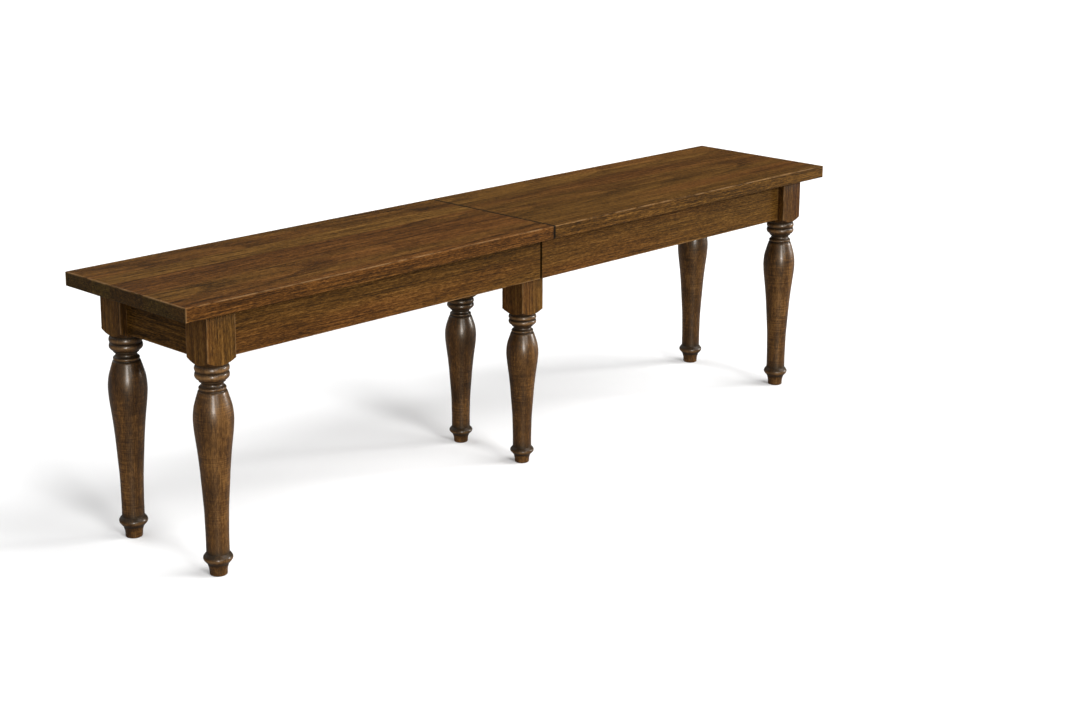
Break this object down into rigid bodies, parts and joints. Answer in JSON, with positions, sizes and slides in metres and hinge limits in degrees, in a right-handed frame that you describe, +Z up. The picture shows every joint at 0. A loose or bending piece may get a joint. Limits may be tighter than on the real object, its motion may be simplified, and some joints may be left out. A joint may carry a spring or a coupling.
{
  "type": "extension bench",
  "caption": "Long open bench with turned legs and a seat split across the middle; the seat halves slide apart evenly on geared wooden slides over a fixed centre stand.",
  "frame": {"origin": "on the floor, under the middle of the closed bench", "axes": "+X along the seat from the left half to the right half, +Y from front to back, +Z up"},
  "size_m": [1.588, 0.3204, 0.4572],
  "materials": {
    "stained_oak": "dark brown stain under a satin clear coat, open grain",
    "stained_oak_dark": "dark brown stain, satin, boards in the shade",
    "slide_maple": "clear waxed maple",
    "frame_wood": "unstained hardwood, sealed",
    "zinc_steel": "zinc plated",
    "dark_steel": "blackened steel",
    "nylon": "moulded nylon"
  },
  "bodies": {
    "centre_stand": {"mid_leg_front": "stained_oak", "mid_leg_back": "stained_oak", "bearer": "frame_wood", "stretcher": "stained_oak_dark", "centre_rail_front": "slide_maple", "centre_rail_back": "slide_maple", "axle_bolt": "zinc_steel", "axle_spacer": "zinc_steel", "mid_leg_bolt_front": "zinc_steel", "mid_leg_bolt_back": "zinc_steel"},
    "left_half": {"left_slab": "stained_oak", "left_apron_front": "stained_oak", "left_apron_back": "stained_oak", "left_apron_end": "stained_oak_dark", "left_cross_rail": "frame_wood", "left_cleat_front": "frame_wood", "left_cleat_back": "frame_wood", "left_brace_front": "frame_wood", "left_brace_back": "frame_wood", "left_leg_front": "stained_oak", "left_leg_back": "stained_oak", "left_hanger_bolt_front": "zinc_steel", "left_hanger_bolt_back": "zinc_steel", "left_nut_front": "zinc_steel", "left_nut_back": "zinc_steel", "left_rail_outer": "slide_maple", "left_rail_inner": "slide_maple", "left_rack": "nylon", "left_align_pin_front": "dark_steel", "left_align_pin_back": "dark_steel", "left_lock_base_front": "dark_steel", "left_lock_base_back": "dark_steel"},
    "right_half": {"right_slab": "stained_oak", "right_apron_front": "stained_oak", "right_apron_back": "stained_oak", "right_apron_end": "stained_oak_dark", "right_cross_rail": "frame_wood", "right_cleat_front": "frame_wood", "right_cleat_back": "frame_wood", "right_brace_front": "frame_wood", "right_brace_back": "frame_wood", "right_leg_front": "stained_oak", "right_leg_back": "stained_oak", "right_hanger_bolt_front": "zinc_steel", "right_hanger_bolt_back": "zinc_steel", "right_nut_front": "zinc_steel", "right_nut_back": "zinc_steel", "right_rail_outer": "slide_maple", "right_rail_inner": "slide_maple", "right_rack": "nylon", "right_align_socket_front": "zinc_steel", "right_align_socket_back": "zinc_steel", "right_keeper_front": "dark_steel", "right_keeper_back": "dark_steel"},
    "pinion_body": {"pinion": "nylon"},
    "lock_front": {"lock_lever_front": "dark_steel"},
    "lock_back": {"lock_lever_back": "dark_steel"}
  },
  "joints": [
    {"name": "left_slide", "type": "slide", "parent": "centre_stand", "child": "left_half", "axis": [-1, 0, 0], "range_m": [0, 0.32]},
    {"name": "right_slide", "type": "slide", "parent": "centre_stand", "child": "right_half", "axis": [1, 0, 0], "range_m": [0, 0.32]},
    {"name": "pinion_spin", "type": "hinge", "parent": "centre_stand", "child": "pinion_body", "pos_m": [0, 0, 0.412], "axis": [0, 0, 1], "range_deg": [0, 1019]},
    {"name": "lock_front_swing", "type": "hinge", "parent": "left_half", "child": "lock_front", "pos_m": [-0.013, -0.101, 0.426], "axis": [0, 0, -1], "range_deg": [0, 28]},
    {"name": "lock_back_swing", "type": "hinge", "parent": "left_half", "child": "lock_back", "pos_m": [-0.013, 0.101, 0.426], "axis": [0, 0, 1], "range_deg": [0, 28]}
  ],
  "couplings": [
    {"joint": "right_slide", "follows": "left_slide", "ratio": 1},
    {"joint": "pinion_spin", "follows": "left_slide", "rad_per_m": 55.556}
  ]
}
